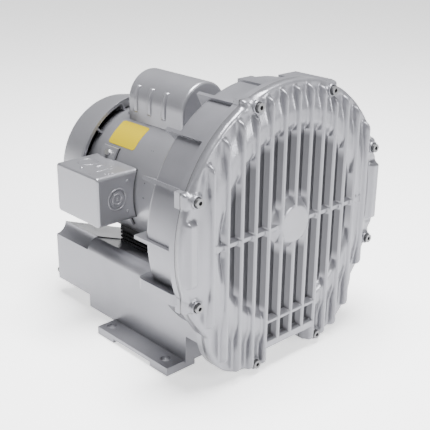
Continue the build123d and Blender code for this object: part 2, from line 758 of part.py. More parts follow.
with BuildPart() as rear_end_bell:
    pocket_wall_r = rear_bearing_r + press_gap
    spun([(shell_rear_y - 6, 75), (shell_rear_y - 6, spigot_r), (shell_rear_y, spigot_r),
          (shell_rear_y, shell_r), (rear_flange_y, shell_r), (rear_flange_y, 62), (rear_bell_y, 50),
          (rear_bell_y, 9), (rear_pocket_y, 9), (rear_pocket_y, pocket_wall_r),
          (rear_bearing_y - 4, pocket_wall_r), (rear_bearing_y - 4, 27), (rear_bell_y - 8, 27),
          (rear_bell_y - 8, 44), (shell_rear_y, 56)])
    rods(through_bolt_points, shell_rear_y - 6, rear_flange_y, through_bolt_r + hole_gap,
         mode=Mode.SUBTRACT)
    rods(fan_boss_points, shell_rear_y - 1, rear_flange_y, m4_r + hole_gap, mode=Mode.SUBTRACT)
save(rear_end_bell, "rear_end_bell")

with BuildPart() as through_bolts:
    rods(through_bolt_points, bell_seat_y + 16, rear_flange_y, through_bolt_r)
    with BuildSketch(shaft_plane(rear_flange_y + 4)) as heads:
        with Locations(*through_bolt_points):
            RegularPolygon(4.2, 6)
    extrude(heads.sketch, amount=4)
save(through_bolts, "through_bolts")

with BuildPart() as motor_mount_screws:
    socket_screws(mount_screw_points, land_y + m6_head_h + hole_gap, 12, m6_r, m6_head_r, m6_head_h)
save(motor_mount_screws, "motor_mount_screws")

# ------------------------------------------------------------------ cooling fan and fan cover
with BuildPart() as cooling_fan:
    ring(fan_front_y, fan_front_y + fan_width - 2, fan_hub_r)
    ring(fan_front_y, fan_front_y + 3, fan_r)
    with BuildSketch(shaft_plane(fan_front_y + fan_width)) as blades:
        with PolarLocations((fan_r + fan_hub_r) / 2, fan_blades):
            Rectangle(fan_r - fan_hub_r + 1, fan_blade_t)
    extrude(blades.sketch, amount=fan_width)
    ring(fan_front_y, fan_front_y + fan_width, fan_seat_r + press_gap, mode=Mode.SUBTRACT)
save(cooling_fan, "cooling_fan")

with BuildPart() as fan_retaining_ring:
    ring(fan_front_y + fan_width - 2, fan_front_y + fan_width - 0.8, fan_seat_r + 4,
         fan_seat_r + press_gap)
save(fan_retaining_ring, "fan_retaining_ring")


def flat_bottom(front, rear, depth):
    """Cuts the open part off flat below the shaft between two stations."""
    with BuildSketch(shaft_plane(rear)) as below:
        with Locations((0, -depth)):
            Rectangle(2 * flange_r, 60, align=(Align.CENTER, Align.MAX))
    extrude(below.sketch, amount=rear - front, mode=Mode.SUBTRACT)


with BuildPart() as fan_cover_core:
    spun([(fan_cover_front_y, 0), (fan_cover_front_y, fan_cover_front_r - fan_cover_t),
          (fan_cover_rear_y - fan_cover_t, fan_cover_rear_r - fan_cover_t),
          (fan_cover_rear_y - fan_cover_t, 0)])
    fillet(edges().filter_by(GeomType.CIRCLE).group_by(Axis.Y)[-1], fan_cover_edge_r - fan_cover_t)
    flat_bottom(rear_flange_y + skin_gap, fan_cover_rear_y, fan_cover_cut - fan_cover_t)

with BuildPart() as fan_cover:
    spun([(fan_cover_front_y, 0), (fan_cover_front_y, fan_cover_front_r),
          (fan_cover_rear_y, fan_cover_rear_r), (fan_cover_rear_y, 0)])
    fillet(edges().filter_by(GeomType.CIRCLE).group_by(Axis.Y)[-1], fan_cover_edge_r)
    ring(fan_cover_front_y, fan_cover_front_y + fan_cover_rim, fan_cover_front_r + 0.8)
    flat_bottom(fan_cover_front_y, fan_cover_rear_y, fan_cover_cut)
    add(fan_cover_core.part, mode=Mode.SUBTRACT)

    # ribs centre the cover on the shell, bosses reach the rear bell
    for turn in range(12):
        angle = centring_rib_angle + turn * centring_rib_step
        if sin(radians(angle)) > -fan_cover_cut / fan_cover_front_r:
            with BuildSketch(shaft_plane(fan_cover_front_y + 6)) as rib:
                with Locations(*circle_points((saddle_foot_r + centring_rib_r) / 2, [angle])):
                    Rectangle(centring_rib_r - saddle_foot_r, centring_rib_t, rotation=angle)
            extrude(rib.sketch, amount=6)
    rods(fan_boss_points, rear_flange_y, fan_cover_rear_y - 1, fan_boss_r)
    rods(fan_boss_points, rear_flange_y, fan_cover_rear_y, m4_r + hole_gap, mode=Mode.SUBTRACT)

    # air slots in the rear wall
    with BuildSketch(shaft_plane(fan_cover_rear_y)) as grille:
        for row in range(-4, 5):
            with Locations((0, row * grille_pitch)):
                SlotOverall(2 * sqrt(grille_r ** 2 - (row * grille_pitch) ** 2), grille_slot)
    extrude(grille.sketch, amount=fan_cover_t, mode=Mode.SUBTRACT)
save(fan_cover, "fan_cover")

with BuildPart() as fan_cover_screws:
    rods(fan_boss_points, shell_rear_y, fan_cover_rear_y, m4_r)
    rods(fan_boss_points, fan_cover_rear_y, fan_cover_rear_y + m4_head_h, m4_head_r)
save(fan_cover_screws, "fan_cover_screws")

# ------------------------------------------------------------------ capacitor and its cover
def arch(front, rear, half_width, mode=Mode.ADD):
    """Upright body with a round top, from below the shell surface."""
    with BuildSketch(shaft_plane(rear)) as face:
        with Locations((0, cap_centre_z)):
            Circle(half_width)
        with Locations((0, cap_centre_z)):
            Rectangle(2 * half_width, cap_centre_z - 60, align=(Align.CENTER, Align.MAX))
    extrude(face.sketch, amount=rear - front, mode=mode)


with BuildPart() as capacitor_cover:
    arch(cap_front_y, cap_rear_y, cap_half_width)
    end_edges = edges().group_by(Axis.Y)
    fillet(end_edges[0].filter_by(GeomType.CIRCLE) + end_edges[-1].filter_by(GeomType.CIRCLE)
           + end_edges[0].filter_by(Axis.Z) + end_edges[-1].filter_by(Axis.Z), cap_edge_r)
    with BuildSketch(shaft_plane(cap_rear_y + cap_tab)) as saddle:
        Circle(shell_r + skin_gap + cap_t)
        with Locations((0, shell_r)):
            Rectangle(1.6 * cap_half_width, 60, mode=Mode.INTERSECT)
    extrude(saddle.sketch, amount=cap_length + 2 * cap_tab)
    arch(cap_front_y + cap_t, cap_rear_y - cap_t, cap_half_width - cap_t, mode=Mode.SUBTRACT)
    ring(cap_front_y - cap_tab, cap_rear_y + cap_tab, shell_r + skin_gap, mode=Mode.SUBTRACT)
    for y in cap_screw_y:
        radial_rod(y, 90, shell_r, shell_r + 4, m4_r + hole_gap, mode=Mode.SUBTRACT)
save(capacitor_cover, "capacitor_cover")

with BuildPart() as capacitor:
    capacitor_z = shell_r + skin_gap + capacitor_r
    rods([(0, capacitor_z)], cap_front_y + 7, cap_front_y + 7 + capacitor_length, capacitor_r)
    rods([(-7, capacitor_z), (7, capacitor_z)], cap_front_y + 3, cap_front_y + 8, 2.5)
save(capacitor, "capacitor")

with BuildPart() as capacitor_cover_screws:
    for y in cap_screw_y:
        seat_r = shell_r + skin_gap + cap_t
        radial_rod(y, 90, shell_bore_r, seat_r, m4_r)
        radial_rod(y, 90, seat_r, seat_r + m4_head_h, m4_head_r)
save(capacitor_cover_screws, "capacitor_cover_screws")

# ------------------------------------------------------------------ junction box
def box_block(wall, mode=Mode.ADD):
    """Block from the outer face towards the shell, smaller by the wall all round."""
    with BuildSketch(side_plane(box_outer_x + wall)) as face:
        with Locations((box_mid_y, box_centre_z)):
            RectangleRounded(box_length - 2 * wall, box_height - 2 * wall, box_edge_r - wall)
    extrude(face.sketch, amount=-box_outer_x - wall - 60, mode=mode)


def saddle_strip(outer, inner, front, rear, below, above):
    """Curved strip on the left of the shell, from below to above the middle of the box."""
    with BuildSketch(shaft_plane(rear)) as strip:
        Circle(outer)
        Circle(inner, mode=Mode.SUBTRACT)
        with Locations((-shell_r, box_centre_z - below)):
            Rectangle(80, below + above, align=(Align.CENTER, Align.MIN), mode=Mode.INTERSECT)
    extrude(strip.sketch, amount=rear - front)


def ears(outer, inner):
    """Two ears, one above and one below the box, for its screws."""
    reach = box_height / 2 + ear_reach
    saddle_strip(outer, inner, ear_y[0] - ear_length / 2, ear_y[0] + ear_length / 2, 0, reach)
    saddle_strip(outer, inner, ear_y[1] - ear_length / 2, ear_y[1] + ear_length / 2, reach, 0)


def ear_holes():
    """Screw holes through the ears and what lies under them."""
    for y, angle in zip(ear_y, ear_angles):
        radial_rod(y, angle, shell_r, saddle_r + 4, m4_r + hole_gap, mode=Mode.SUBTRACT)


with BuildPart() as junction_box:
    box_block(0)
    fillet(faces().sort_by(Axis.X)[0].edges(), 3)
    ring(box_front_y - 20, box_front_y + box_length + 20, saddle_r, mode=Mode.SUBTRACT)
    ears(saddle_r + ear_t, saddle_r)
    box_block(box_t, mode=Mode.SUBTRACT)
    ear_holes()
    with BuildSketch(shaft_plane(box_front_y)) as knockout:
        with Locations((box_outer_x + knockout_inset, box_centre_z)):
            Circle(knockout_r)
            Circle(knockout_r - 0.8, mode=Mode.SUBTRACT)
    extrude(knockout.sketch, amount=-0.8, mode=Mode.SUBTRACT)
    ground_point = (box_outer_x + knockout_inset, box_mid_y + ground_screw_offset)
    with BuildSketch(Plane.XY.offset(shaft_height + box_centre_z - box_height / 2)) as ground_hole:
        with Locations(ground_point):
            Circle(m4_r + hole_gap)
    extrude(ground_hole.sketch, amount=box_t, mode=Mode.SUBTRACT)
save(junction_box, "junction_box")

with BuildPart() as junction_box_gasket:
    frame_half_length = box_length / 2 - 1
    frame_half_height = box_height / 2 - 1
    saddle_strip(saddle_r, shell_r + skin_gap, box_mid_y - frame_half_length,
                 box_mid_y + frame_half_length, frame_half_height, frame_half_height)
    ears(saddle_r, shell_r + skin_gap)
    box_block(box_t + 2, mode=Mode.SUBTRACT)
    ear_holes()
save(junction_box_gasket, "junction_box_gasket")

with BuildPart() as junction_box_screws:
    for y, angle in zip(ear_y, ear_angles):
        seat_r = saddle_r + ear_t
        radial_rod(y, angle, shell_bore_r, seat_r, m4_r)
        with BuildSketch(radial_plane(y, angle, seat_r)) as hexagon:
            RegularPolygon(m4_head_r, 6)
        extrude(hexagon.sketch, amount=m4_head_h)
save(junction_box_screws, "junction_box_screws")

with BuildPart() as terminal_block:
    with BuildSketch(side_plane(box_outer_x + box_t)) as base:
        with Locations((box_mid_y - 8, box_centre_z)):
            Rectangle(terminal_length, terminal_width)
    extrude(base.sketch, amount=8)
    with BuildSketch(side_plane(box_outer_x + box_t + 8)) as barriers:
        with Locations((box_mid_y - 8, box_centre_z)):
            with GridLocations(9, 0, 5, 1):
                Rectangle(1.6, terminal_width)
    extrude(barriers.sketch, amount=5)
save(terminal_block, "terminal_block")

with BuildPart() as ground_screw:
    ground_seat = Plane.XY.offset(shaft_height + box_centre_z - box_height / 2 + box_t)
    with BuildSketch(ground_seat) as shank:
        with Locations(ground_point):
            Circle(m4_r)
    extrude(shank.sketch, amount=-8)
    with BuildSketch(ground_seat) as head:
        with Locations(ground_point):
            RegularPolygon(m4_head_r, 6)
    extrude(head.sketch, amount=m4_head_h)
save(ground_screw, "ground_screw")

# ------------------------------------------------------------------ pads between muffler and motor
with BuildPart() as motor_pads:
    bars([(-pad_x, pad_mid_z), (pad_x, pad_mid_z)], pad_width, pad_height, pad_front_y, pad_rear_y)
    ring(pad_front_y, pad_rear_y, saddle_foot_r, mode=Mode.SUBTRACT)
    extrude(cradle_face(pad_rear_y, muffler_half_width, muffler_lift, ridge_x, -shoulder_r),
            amount=pad_rear_y - pad_front_y, mode=Mode.SUBTRACT)
    for groove in range(3):
        groove_z = pad_mid_z + groove * pad_groove_pitch
        bars([(-pad_x - pad_width / 2, groove_z), (pad_x + pad_width / 2, groove_z)],
             2 * pad_groove_depth, pad_groove_pitch / 2, pad_front_y, pad_rear_y,
             mode=Mode.SUBTRACT)
save(motor_pads, "motor_pads")

# ------------------------------------------------------------------ port block behind the muffler
with BuildPart() as port_block:
    extrude(cradle_face(port_block_rear_y, muffler_half_width - port_block_inset,
                        port_block_bottom, ridge_x - 2, scoop_r),
            amount=port_block_length)
    rods(port_points, port_block_rear_y, port_block_rear_y + port_boss_h, port_boss_r)
    rods(port_points, port_block_rear_y - port_thread_length, port_block_rear_y + port_boss_h,
         port_thread_r, mode=Mode.SUBTRACT)
    rods(port_points, port_block_front_y, port_block_rear_y, port_passage_r, mode=Mode.SUBTRACT)
    rods(port_screw_points, port_block_front_y, port_block_rear_y, m6_r + hole_gap,
         mode=Mode.SUBTRACT)
save(port_block, "port_block")

with BuildPart() as port_block_gasket:
    extrude(cradle_face(port_block_front_y, muffler_half_width - port_block_inset - 1,
                        port_block_bottom, ridge_x - 3, scoop_r),
            amount=port_gasket_t)
    rods(port_points, muffler_rear_y, port_block_front_y, port_passage_r, mode=Mode.SUBTRACT)
    rods(port_screw_points, muffler_rear_y, port_block_front_y, m6_r + hole_gap,
         mode=Mode.SUBTRACT)
save(port_block_gasket, "port_block_gasket")

with BuildPart() as port_block_screws:
    rods(port_screw_points, port_block_rear_y - port_screw_length, port_block_rear_y, m6_r)
    rods(port_screw_points, port_block_rear_y, port_block_rear_y + m6_head_h, m6_head_r)
    with BuildSketch(shaft_plane(port_block_rear_y + m6_head_h)) as sockets:
        with Locations(*port_screw_points):
            RegularPolygon(m6_head_r / 2, 6)
    extrude(sockets.sketch, amount=m6_head_h / 2, mode=Mode.SUBTRACT)
save(port_block_screws, "port_block_screws")

with BuildPart() as left_muffler_liner:
    rods(tunnel_points[:1], liner_front_y, muffler_rear_y, tunnel_r - skin_gap)
    rods(tunnel_points[:1], liner_front_y, muffler_rear_y, tunnel_r - liner_t, mode=Mode.SUBTRACT)
save(left_muffler_liner, "left_muffler_liner")

with BuildPart() as right_muffler_liner:
    rods(tunnel_points[1:], liner_front_y, muffler_rear_y, tunnel_r - skin_gap)
    rods(tunnel_points[1:], liner_front_y, muffler_rear_y, tunnel_r - liner_t, mode=Mode.SUBTRACT)
save(right_muffler_liner, "right_muffler_liner")
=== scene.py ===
"""Side channel blower with a close-coupled motor: the looks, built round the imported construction.

Metres, +Z up. The shaft runs along Y; the finned cover faces -Y, the motor and ports face +Y.
"""
import json
from math import cos, pi, radians, sin, sqrt

import bmesh
import bpy
import numpy as np
from mathutils import Matrix, Vector


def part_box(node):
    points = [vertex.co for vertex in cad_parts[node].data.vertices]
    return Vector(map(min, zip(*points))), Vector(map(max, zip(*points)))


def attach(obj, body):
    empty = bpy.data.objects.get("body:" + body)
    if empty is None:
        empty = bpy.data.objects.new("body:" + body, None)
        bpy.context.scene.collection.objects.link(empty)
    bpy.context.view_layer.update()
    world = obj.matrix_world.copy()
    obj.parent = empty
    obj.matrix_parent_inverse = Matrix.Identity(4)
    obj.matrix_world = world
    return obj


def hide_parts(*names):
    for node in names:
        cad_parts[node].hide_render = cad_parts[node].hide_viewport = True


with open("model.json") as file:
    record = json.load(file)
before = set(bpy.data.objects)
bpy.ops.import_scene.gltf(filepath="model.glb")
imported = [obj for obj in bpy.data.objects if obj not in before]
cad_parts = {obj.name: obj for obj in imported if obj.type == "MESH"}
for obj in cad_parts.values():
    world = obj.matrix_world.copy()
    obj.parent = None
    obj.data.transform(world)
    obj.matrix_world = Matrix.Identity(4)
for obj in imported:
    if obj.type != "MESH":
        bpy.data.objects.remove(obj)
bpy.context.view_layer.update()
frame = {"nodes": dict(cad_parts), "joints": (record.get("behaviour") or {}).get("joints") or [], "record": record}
nodes = frame["nodes"]
MM = 0.001
SHAFT_Z = frame["joints"][0]["pos_m"][2]

# ------------------------------------------------------------------ camera, floor and light
# A plain pale floor under soft studio light. The camera stands in front of the cover, to its left
# and above it.
CAMERA_AT = Vector((-0.6596, -0.7074, 0.5220))
CAMERA_AZIMUTH = radians(-43.24)
CAMERA_ELEVATION = radians(21.54)
CAMERA_ROLL = radians(0.67)
CAMERA_LENS = 71.87
OBJECT_MIDDLE = (0, 0, 0.16)
# Name, place, side length and power of each soft box.
SOFT_BOXES = (("top_box", (0.0, -0.1, 1.7), 0.9, 115), ("left_box", (-1.6, 0.6, 0.8), 0.6, 2),
              ("front_box", (0.5, -1.9, 0.8), 0.5, 30))
STUDIO_AIR, STUDIO_AIR_STRENGTH = (0.97, 0.98, 1.0, 1), 0.26
FLOOR_HALF, FLOOR_PAINT, FLOOR_ROUGHNESS, FLOOR_GLOW = 9, (0.93, 0.93, 0.93, 1), 0.9, 1.2


def camera_matrix():
    """Placement of the camera from its azimuth, elevation and roll."""
    back = Vector((sin(CAMERA_AZIMUTH) * cos(CAMERA_ELEVATION),
                   -cos(CAMERA_AZIMUTH) * cos(CAMERA_ELEVATION), sin(CAMERA_ELEVATION)))
    level = Vector((cos(CAMERA_AZIMUTH), sin(CAMERA_AZIMUTH), 0))
    upright = back.cross(level)
    right = level * cos(CAMERA_ROLL) + upright * sin(CAMERA_ROLL)
    up = upright * cos(CAMERA_ROLL) - level * sin(CAMERA_ROLL)
    turn = Matrix((right, up, back)).transposed().to_4x4()
    return Matrix.Translation(CAMERA_AT) @ turn


camera = bpy.data.objects.new("camera", bpy.data.cameras.new("camera"))
camera.data.lens = CAMERA_LENS
camera.matrix_world = camera_matrix()
bpy.context.scene.collection.objects.link(camera)
bpy.context.scene.camera = camera


def area_light(name, at, toward, size, power):
    """Square soft box that points at a place."""
    lamp = bpy.data.lights.new(name, "AREA")
    lamp.size = size
    lamp.energy = power
    holder = bpy.data.objects.new(name, lamp)
    holder.location = at
    holder.rotation_euler = (Vector(toward) - Vector(at)).to_track_quat("-Z", "Y").to_euler()
    bpy.context.scene.collection.objects.link(holder)


for soft_box, place, length, power in SOFT_BOXES:
    area_light(soft_box, place, OBJECT_MIDDLE, length, power)

world = bpy.data.worlds.new("studio")
world.use_nodes = True
world.node_tree.nodes["Background"].inputs["Color"].default_value = STUDIO_AIR
world.node_tree.nodes["Background"].inputs["Strength"].default_value = STUDIO_AIR_STRENGTH
bpy.context.scene.world = world


def new_material(name):
    """Node material with its shader, ready for links."""
    made = bpy.data.materials.new(name)
    made.use_nodes = True
    return made, made.node_tree, made.node_tree.nodes["Principled BSDF"]


def mesh_object(name, vertices, faces, smooth=True):
    """Piece from plain vertex and face lists, in the row frame."""
    mesh = bpy.data.meshes.new(name)
    mesh.from_pydata([tuple(v) for v in vertices], [], [tuple(f) for f in faces])
    mesh.update()
    if smooth:
        mesh.shade_smooth()
    made = bpy.data.objects.new(name, mesh)
    bpy.context.scene.collection.objects.link(made)
    return made


floor_material, _, floor_shader = new_material("studio_floor")
floor_shader.inputs["Base Color"].default_value = FLOOR_PAINT
floor_shader.inputs["Roughness"].default_value = FLOOR_ROUGHNESS
floor_shader.inputs["Emission Color"].default_value = (1, 1, 1, 1)
floor_shader.inputs["Emission Strength"].default_value = FLOOR_GLOW
floor = mesh_object("studio_floor", [(-FLOOR_HALF, -FLOOR_HALF, 0), (FLOOR_HALF, -FLOOR_HALF, 0),
                                     (FLOOR_HALF, FLOOR_HALF, 0), (-FLOOR_HALF, FLOOR_HALF, 0)],
                    [(0, 1, 2, 3)])
floor.data.materials.append(floor_material)


# ------------------------------------------------------------------ finishes
# Castings are shot-blasted aluminium under a thin silver-grey spray coat, so a fine cast grain
# still shows. Sheet steel parts of the motor have the same coat on a smooth ground.
MOTTLE_SCALE, MOTTLE_SPREAD, GLOSS_SPREAD, GRAIN_DEPTH = 22, (0.3, 0.7), 0.06, 0.0004


def coated_metal(name, colour, metallic, roughness, grain, grain_size, mottle=0.06):
    """Sprayed metal: slow mottle in the coat, fine grain in the surface."""
    made, tree, shader = new_material(name)
    place = tree.nodes.new("ShaderNodeTexCoord")

    def noise(scale, detail):
        cloud = tree.nodes.new("ShaderNodeTexNoise")
        cloud.inputs["Scale"].default_value = scale
        cloud.inputs["Detail"].default_value = detail
        tree.links.new(place.outputs["Object"], cloud.inputs["Vector"])
        return cloud.outputs["Fac"]

    slow, fine = noise(MOTTLE_SCALE, 4), noise(1 / grain_size, 3)
    ramp = tree.nodes.new("ShaderNodeValToRGB")
    for end, position, shade in zip(ramp.color_ramp.elements, MOTTLE_SPREAD,
                                    (1 - mottle, 1 + mottle)):
        end.position = position
        end.color = (*[min(1, c * shade) for c in colour], 1)
    tree.links.new(slow, ramp.inputs["Fac"])
    tree.links.new(ramp.outputs["Color"], shader.inputs["Base Color"])
    spread = tree.nodes.new("ShaderNodeMapRange")
    spread.inputs["To Min"].default_value = roughness - GLOSS_SPREAD
    spread.inputs["To Max"].default_value = roughness + GLOSS_SPREAD
    tree.links.new(slow, spread.inputs["Value"])
    tree.links.new(spread.outputs["Result"], shader.inputs["Roughness"])
    shader.inputs["Metallic"].default_value = metallic
    relief = tree.nodes.new("ShaderNodeBump")
    relief.inputs["Strength"].default_value = grain
    relief.inputs["Distance"].default_value = GRAIN_DEPTH
    tree.links.new(fine, relief.inputs["Height"])
    tree.links.new(relief.outputs["Normal"], shader.inputs["Normal"])
    return made


# Colour, metallic share, roughness, strength and size (m) of the grain, and at times the mottle.
cast_silver = coated_metal("cast_silver", (0.21, 0.21, 0.23), 0.6, 0.33, 0.35, 0.0016)
machined_silver = coated_metal("machined_silver", (0.66, 0.66, 0.67), 0.9, 0.35, 0.15, 0.0008)
motor_grey = coated_metal("motor_grey", (0.25, 0.25, 0.27), 0.6, 0.30, 0.12, 0.0012, 0.03)
dark_oxide = coated_metal("dark_oxide", (0.16, 0.16, 0.165), 0.9, 0.35, 0.1, 0.0006)
bright_zinc = coated_metal("bright_zinc", (0.66, 0.66, 0.64), 0.95, 0.28, 0.1, 0.0006)
ground_steel = coated_metal("ground_steel", (0.62, 0.62, 0.63), 1.0, 0.22, 0.05, 0.0005)
core_sheet = coated_metal("core_sheet", (0.22, 0.22, 0.24), 0.8, 0.5, 0.2, 0.0006)
copper_wire = coated_metal("copper_wire", (0.62, 0.26, 0.11), 0.9, 0.35, 0.4, 0.0010)
black_rubber = coated_metal("black_rubber", (0.035, 0.035, 0.036), 0.0, 0.7, 0.2, 0.0008)
black_moulding = coated_metal("black_moulding", (0.045, 0.045, 0.047), 0.0, 0.45, 0.1, 0.0008)
grey_foam = coated_metal("grey_foam", (0.10, 0.10, 0.11), 0.0, 0.95, 1.0, 0.0022)


FINISH_OF_SLOT = {
    "cast_aluminium": cast_silver, "bare_aluminium": machined_silver, "painted_bells": motor_grey,
    "painted_steel": motor_grey, "painted_fan_cover": motor_grey, "screw_steel": dark_oxide,
    "zinc_steel": bright_zinc, "bearing_steel": ground_steel, "core_steel": core_sheet,
    "copper_winding": copper_wire, "black_rubber": black_rubber, "black_plastic": black_moulding,
    "liner_foam": grey_foam,
}
slot_of_node = {s["node"]: s["material_slot"] for s in frame["record"]["subparts"]}
for node_name, node in nodes.items():
    node.data.materials.clear()
    node.data.materials.append(FINISH_OF_SLOT[slot_of_node[node_name]])


# ------------------------------------------------------------------ blower housing
# One aluminium casting: the drum of the side channel with its lugs and ribs, the muffler body
# under the motor, and the feet. Its edges are rounded by the mould.
SHARPEST_KEPT, SAME_PLANE = radians(30), radians(1)


def softened(node_name, piece_name, edge):
    """Copy of a construction node with its edges rounded, as cast or pressed edges are."""
    shape = bmesh.new()
    shape.from_mesh(nodes[node_name].data)
    bmesh.ops.remove_doubles(shape, verts=shape.verts, dist=1e-6)
    bmesh.ops.dissolve_limit(shape, angle_limit=SAME_PLANE, verts=shape.verts, edges=shape.edges)
    mesh = bpy.data.meshes.new(piece_name)
    shape.to_mesh(mesh)
    shape.free()
    mesh.materials.append(FINISH_OF_SLOT[slot_of_node[node_name]])
    piece = bpy.data.objects.new(piece_name, mesh)
    bpy.context.scene.collection.objects.link(piece)
    rounding = piece.modifiers.new("rounding", "BEVEL")
    rounding.width = edge
    rounding.segments = 2
    rounding.limit_method = "ANGLE"
    rounding.angle_limit = SHARPEST_KEPT
    rounding.use_clamp_overlap = True
    mesh.shade_smooth()
    weighting = piece.modifiers.new("weighting", "WEIGHTED_NORMAL")
    weighting.keep_sharp = True
    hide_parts(node_name)
    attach(piece, "frame")


softened("blower_housing", "housing_casting", 1.4 * MM)

# ------------------------------------------------------------------ finned cover
# Aluminium casting bolted to the drum. Upright drafted fins stand on the web and on the round bulge
# of the channel; a hub and cross ribs tie them together. Sizes in millimetres from the shaft, with
# stations along Y.
FLANGE_FRONT, COVER_BACK, WEB_FRONT, WEB_BACK = -125.0, -115.8, -115.0, -109.0
FLANGE_R, SKIRT_R, SKIRT_HALF, SKIRT_BOTTOM = 157.5, 60.0, 120.0, 163.0
NOTCH_Z, NOTCH_HALF_X, NOTCH_HALF_Z = -161, 37, 10
SCREW_CIRCLE_R, SEAT_FRONT, BOSS_R = 150.0, -127.0, 8.0
LOW_SCREWS = ((-51.0, -158.0), (51.0, -158.0))
RIM_SCREWS = [(SCREW_CIRCLE_R * cos(radians(a)), SCREW_CIRCLE_R * sin(radians(a)))
              for a in (67.5, 112.5, 157.5, 202.5, -22.5, 22.5)]
TOP_LUG_Z, TOP_LUG_HALF, SIDE_LUG_HALF, LUG_CORNER = 100, (12.5, 5.5), (9.5, 6.5), 2
RIM_ROUND, LUG_ROUND, LUG_ROUND_REACH = 3.0, 6.5, (13, 22)

FIN_PITCH, FIN_FRONT, FIN_END_R, FIN_CIRCLE_R = 20.2, -135.0, 9.0, 152.0
FIN_BOTTOMS = (140.0, 140.0, 163.0, 162.0, 157.0, 137.0, 88.0)
LAST_FIN, SHORT_FIN, SHORT_FIN_TOP = 6, 3, 130.6
FIN_TOP_HALF, FIN_ROOT_HALF, FIN_FILLET = 1.5, 2.3, 2.6
FIN_EDGE, FIN_EDGE_DROP = 0.7, 0.5

BULGE_RISE, BULGE_START, BULGE_END = 15.5, (93.5, 114), (124, 147)
HUB_FRONT, HUB_DISC_R, HUB_FOOT_R = -134.6, 21, 40
HUB_EDGE, HUB_EDGE_DROP = (20, 21.5), 0.5
# Height, half thickness, front and half length of each cross rib.
CROSS_RIBS = ((0, 3.5, -131, LAST_FIN * FIN_PITCH), (-109.0, 3.25, -133.5, 2 * FIN_PITCH),
              (-138.0, 5.5, -133.5, 2 * FIN_PITCH))
RIB_EDGE = 0.8
BUMP_X, BUMP_Z, BUMP_HALF_X, BUMP_HALF_Z, BUMP_FRONT = 145.0, 2.0, 3.6, 33.0, -131.5
BUMP_SIDE, GROOVE_AT, GROOVE_WIDTH, GROOVE_DEPTH = (0.3, 3.2), 5.4, 1.3, 1.2
STRIPPER_EDGE, STRIPPER_TOP, STRIPPER_BOTTOM = 0.8, (60, 80), (141.0, 143.0)

CHANNEL_IN_R, CHANNEL_OUT_R, CHANNEL_BACK = 107, 139.2, -119.0
HUB_POCKET_R, HUB_POCKET_BACK, STRIPPER_BACK_HALF = 20, -122.0, 44

# The grid's lines lie close on both sides of each fin and rib, and evenly between them.
FIN_LINES, FIN_GRID_REACH, FIN_GRID_STEP = (0, 0.8, 1.5, 2.3, 2.9, 3.7, 4.9, 7.2), 170, 2.2
RIB_LINES, RIB_GRID_REACH, RIB_GRID_STEP = (0, 1.6, 2.5, 3.4, 4.1, 5.0, 5.6, 6.6), (-172, 165), 1.8
CLOSEST_LINES, COARSE_CLEARANCE = 0.25, 0.45
TRIM_ROUNDS, TRIM_PROBE, TRIM_LEAST_SLOPE = 6, 0.05, 0.2

# Cover coat, and the painted shade deep between the fins. The constants give its colour, the hub and channel radii
# where it fades in and out, and the depth where it begins. They also give the upward slope and the middle rib band
# that are left out of it, and the low pocket below the hub that it also darkens.
COVER_SILVER, PAINTED_SHADE_COLOUR = (0.22, 0.22, 0.24), (0.30, 0.30, 0.306, 1)
SHADE_HUB, SHADE_CHANNEL, SHADE_DEPTH = (0.030, 0.040), (0.096, 0.106), (-0.1332, -0.1318)
SHADE_UPWARD, SHADE_RIB = (0.25, 0.75), (0.0038, 0.0060)
POCKET_HALF_X, POCKET_TOP, POCKET_BOTTOM = 0.0400, -0.080, -0.139


def boxed(x, z, centre, half_x, half_z):
    """Distance outside (negative inside) an upright rectangle."""
    over_x, over_z = abs(x - centre[0]) - half_x, abs(z - centre[1]) - half_z
    outside = np.hypot(np.maximum(over_x, 0), np.maximum(over_z, 0))
    return outside + np.minimum(np.maximum(over_x, over_z), 0)


def outline_distance(x, z):
    """Distance outside (negative inside) the joint outline: rim, skirt, lugs and notch."""
    rim = np.hypot(x, z) - FLANGE_R
    reach = np.maximum(abs(x) - (SKIRT_HALF - SKIRT_R), 0)
    skirt = np.hypot(reach, z + SKIRT_BOTTOM - SKIRT_R) - SKIRT_R
    shape = np.minimum(rim, skirt)
    shape = np.maximum(shape, -boxed(x, z, (0, NOTCH_Z), NOTCH_HALF_X, NOTCH_HALF_Z))
    for spot in LOW_SCREWS:
        shape = np.minimum(shape, np.hypot(x - spot[0], z - spot[1]) - BOSS_R)
    for spot in RIM_SCREWS:
        half = TOP_LUG_HALF if abs(spot[1]) > TOP_LUG_Z else SIDE_LUG_HALF
        shape = np.minimum(shape, boxed(x, z, spot, *half) - LUG_CORNER)
    return shape


def eased(value, low, high):
    """Smooth step from 0 to 1 between two values."""
    t = np.clip((value - low) / (high - low), 0, 1)
    return t * t * (3 - 2 * t)


def stripper(x, z):
    """1 where the channel is interrupted at the bottom, between the two ports; 0 elsewhere."""
    side = 2 * FIN_PITCH
    across = 1 - eased(abs(x), side - STRIPPER_EDGE, side + STRIPPER_EDGE)
    return across * eased(-z, *STRIPPER_TOP) * (1 - eased(-z, *STRIPPER_BOTTOM))


def fillet(base, away, size):
    """Base surface with a round fillet of a given size beside a wall."""
    reach = np.clip(FIN_FILLET - away, 0, FIN_FILLET)
    return base - size / FIN_FILLET * (FIN_FILLET - np.sqrt(FIN_FILLET ** 2 - reach ** 2))


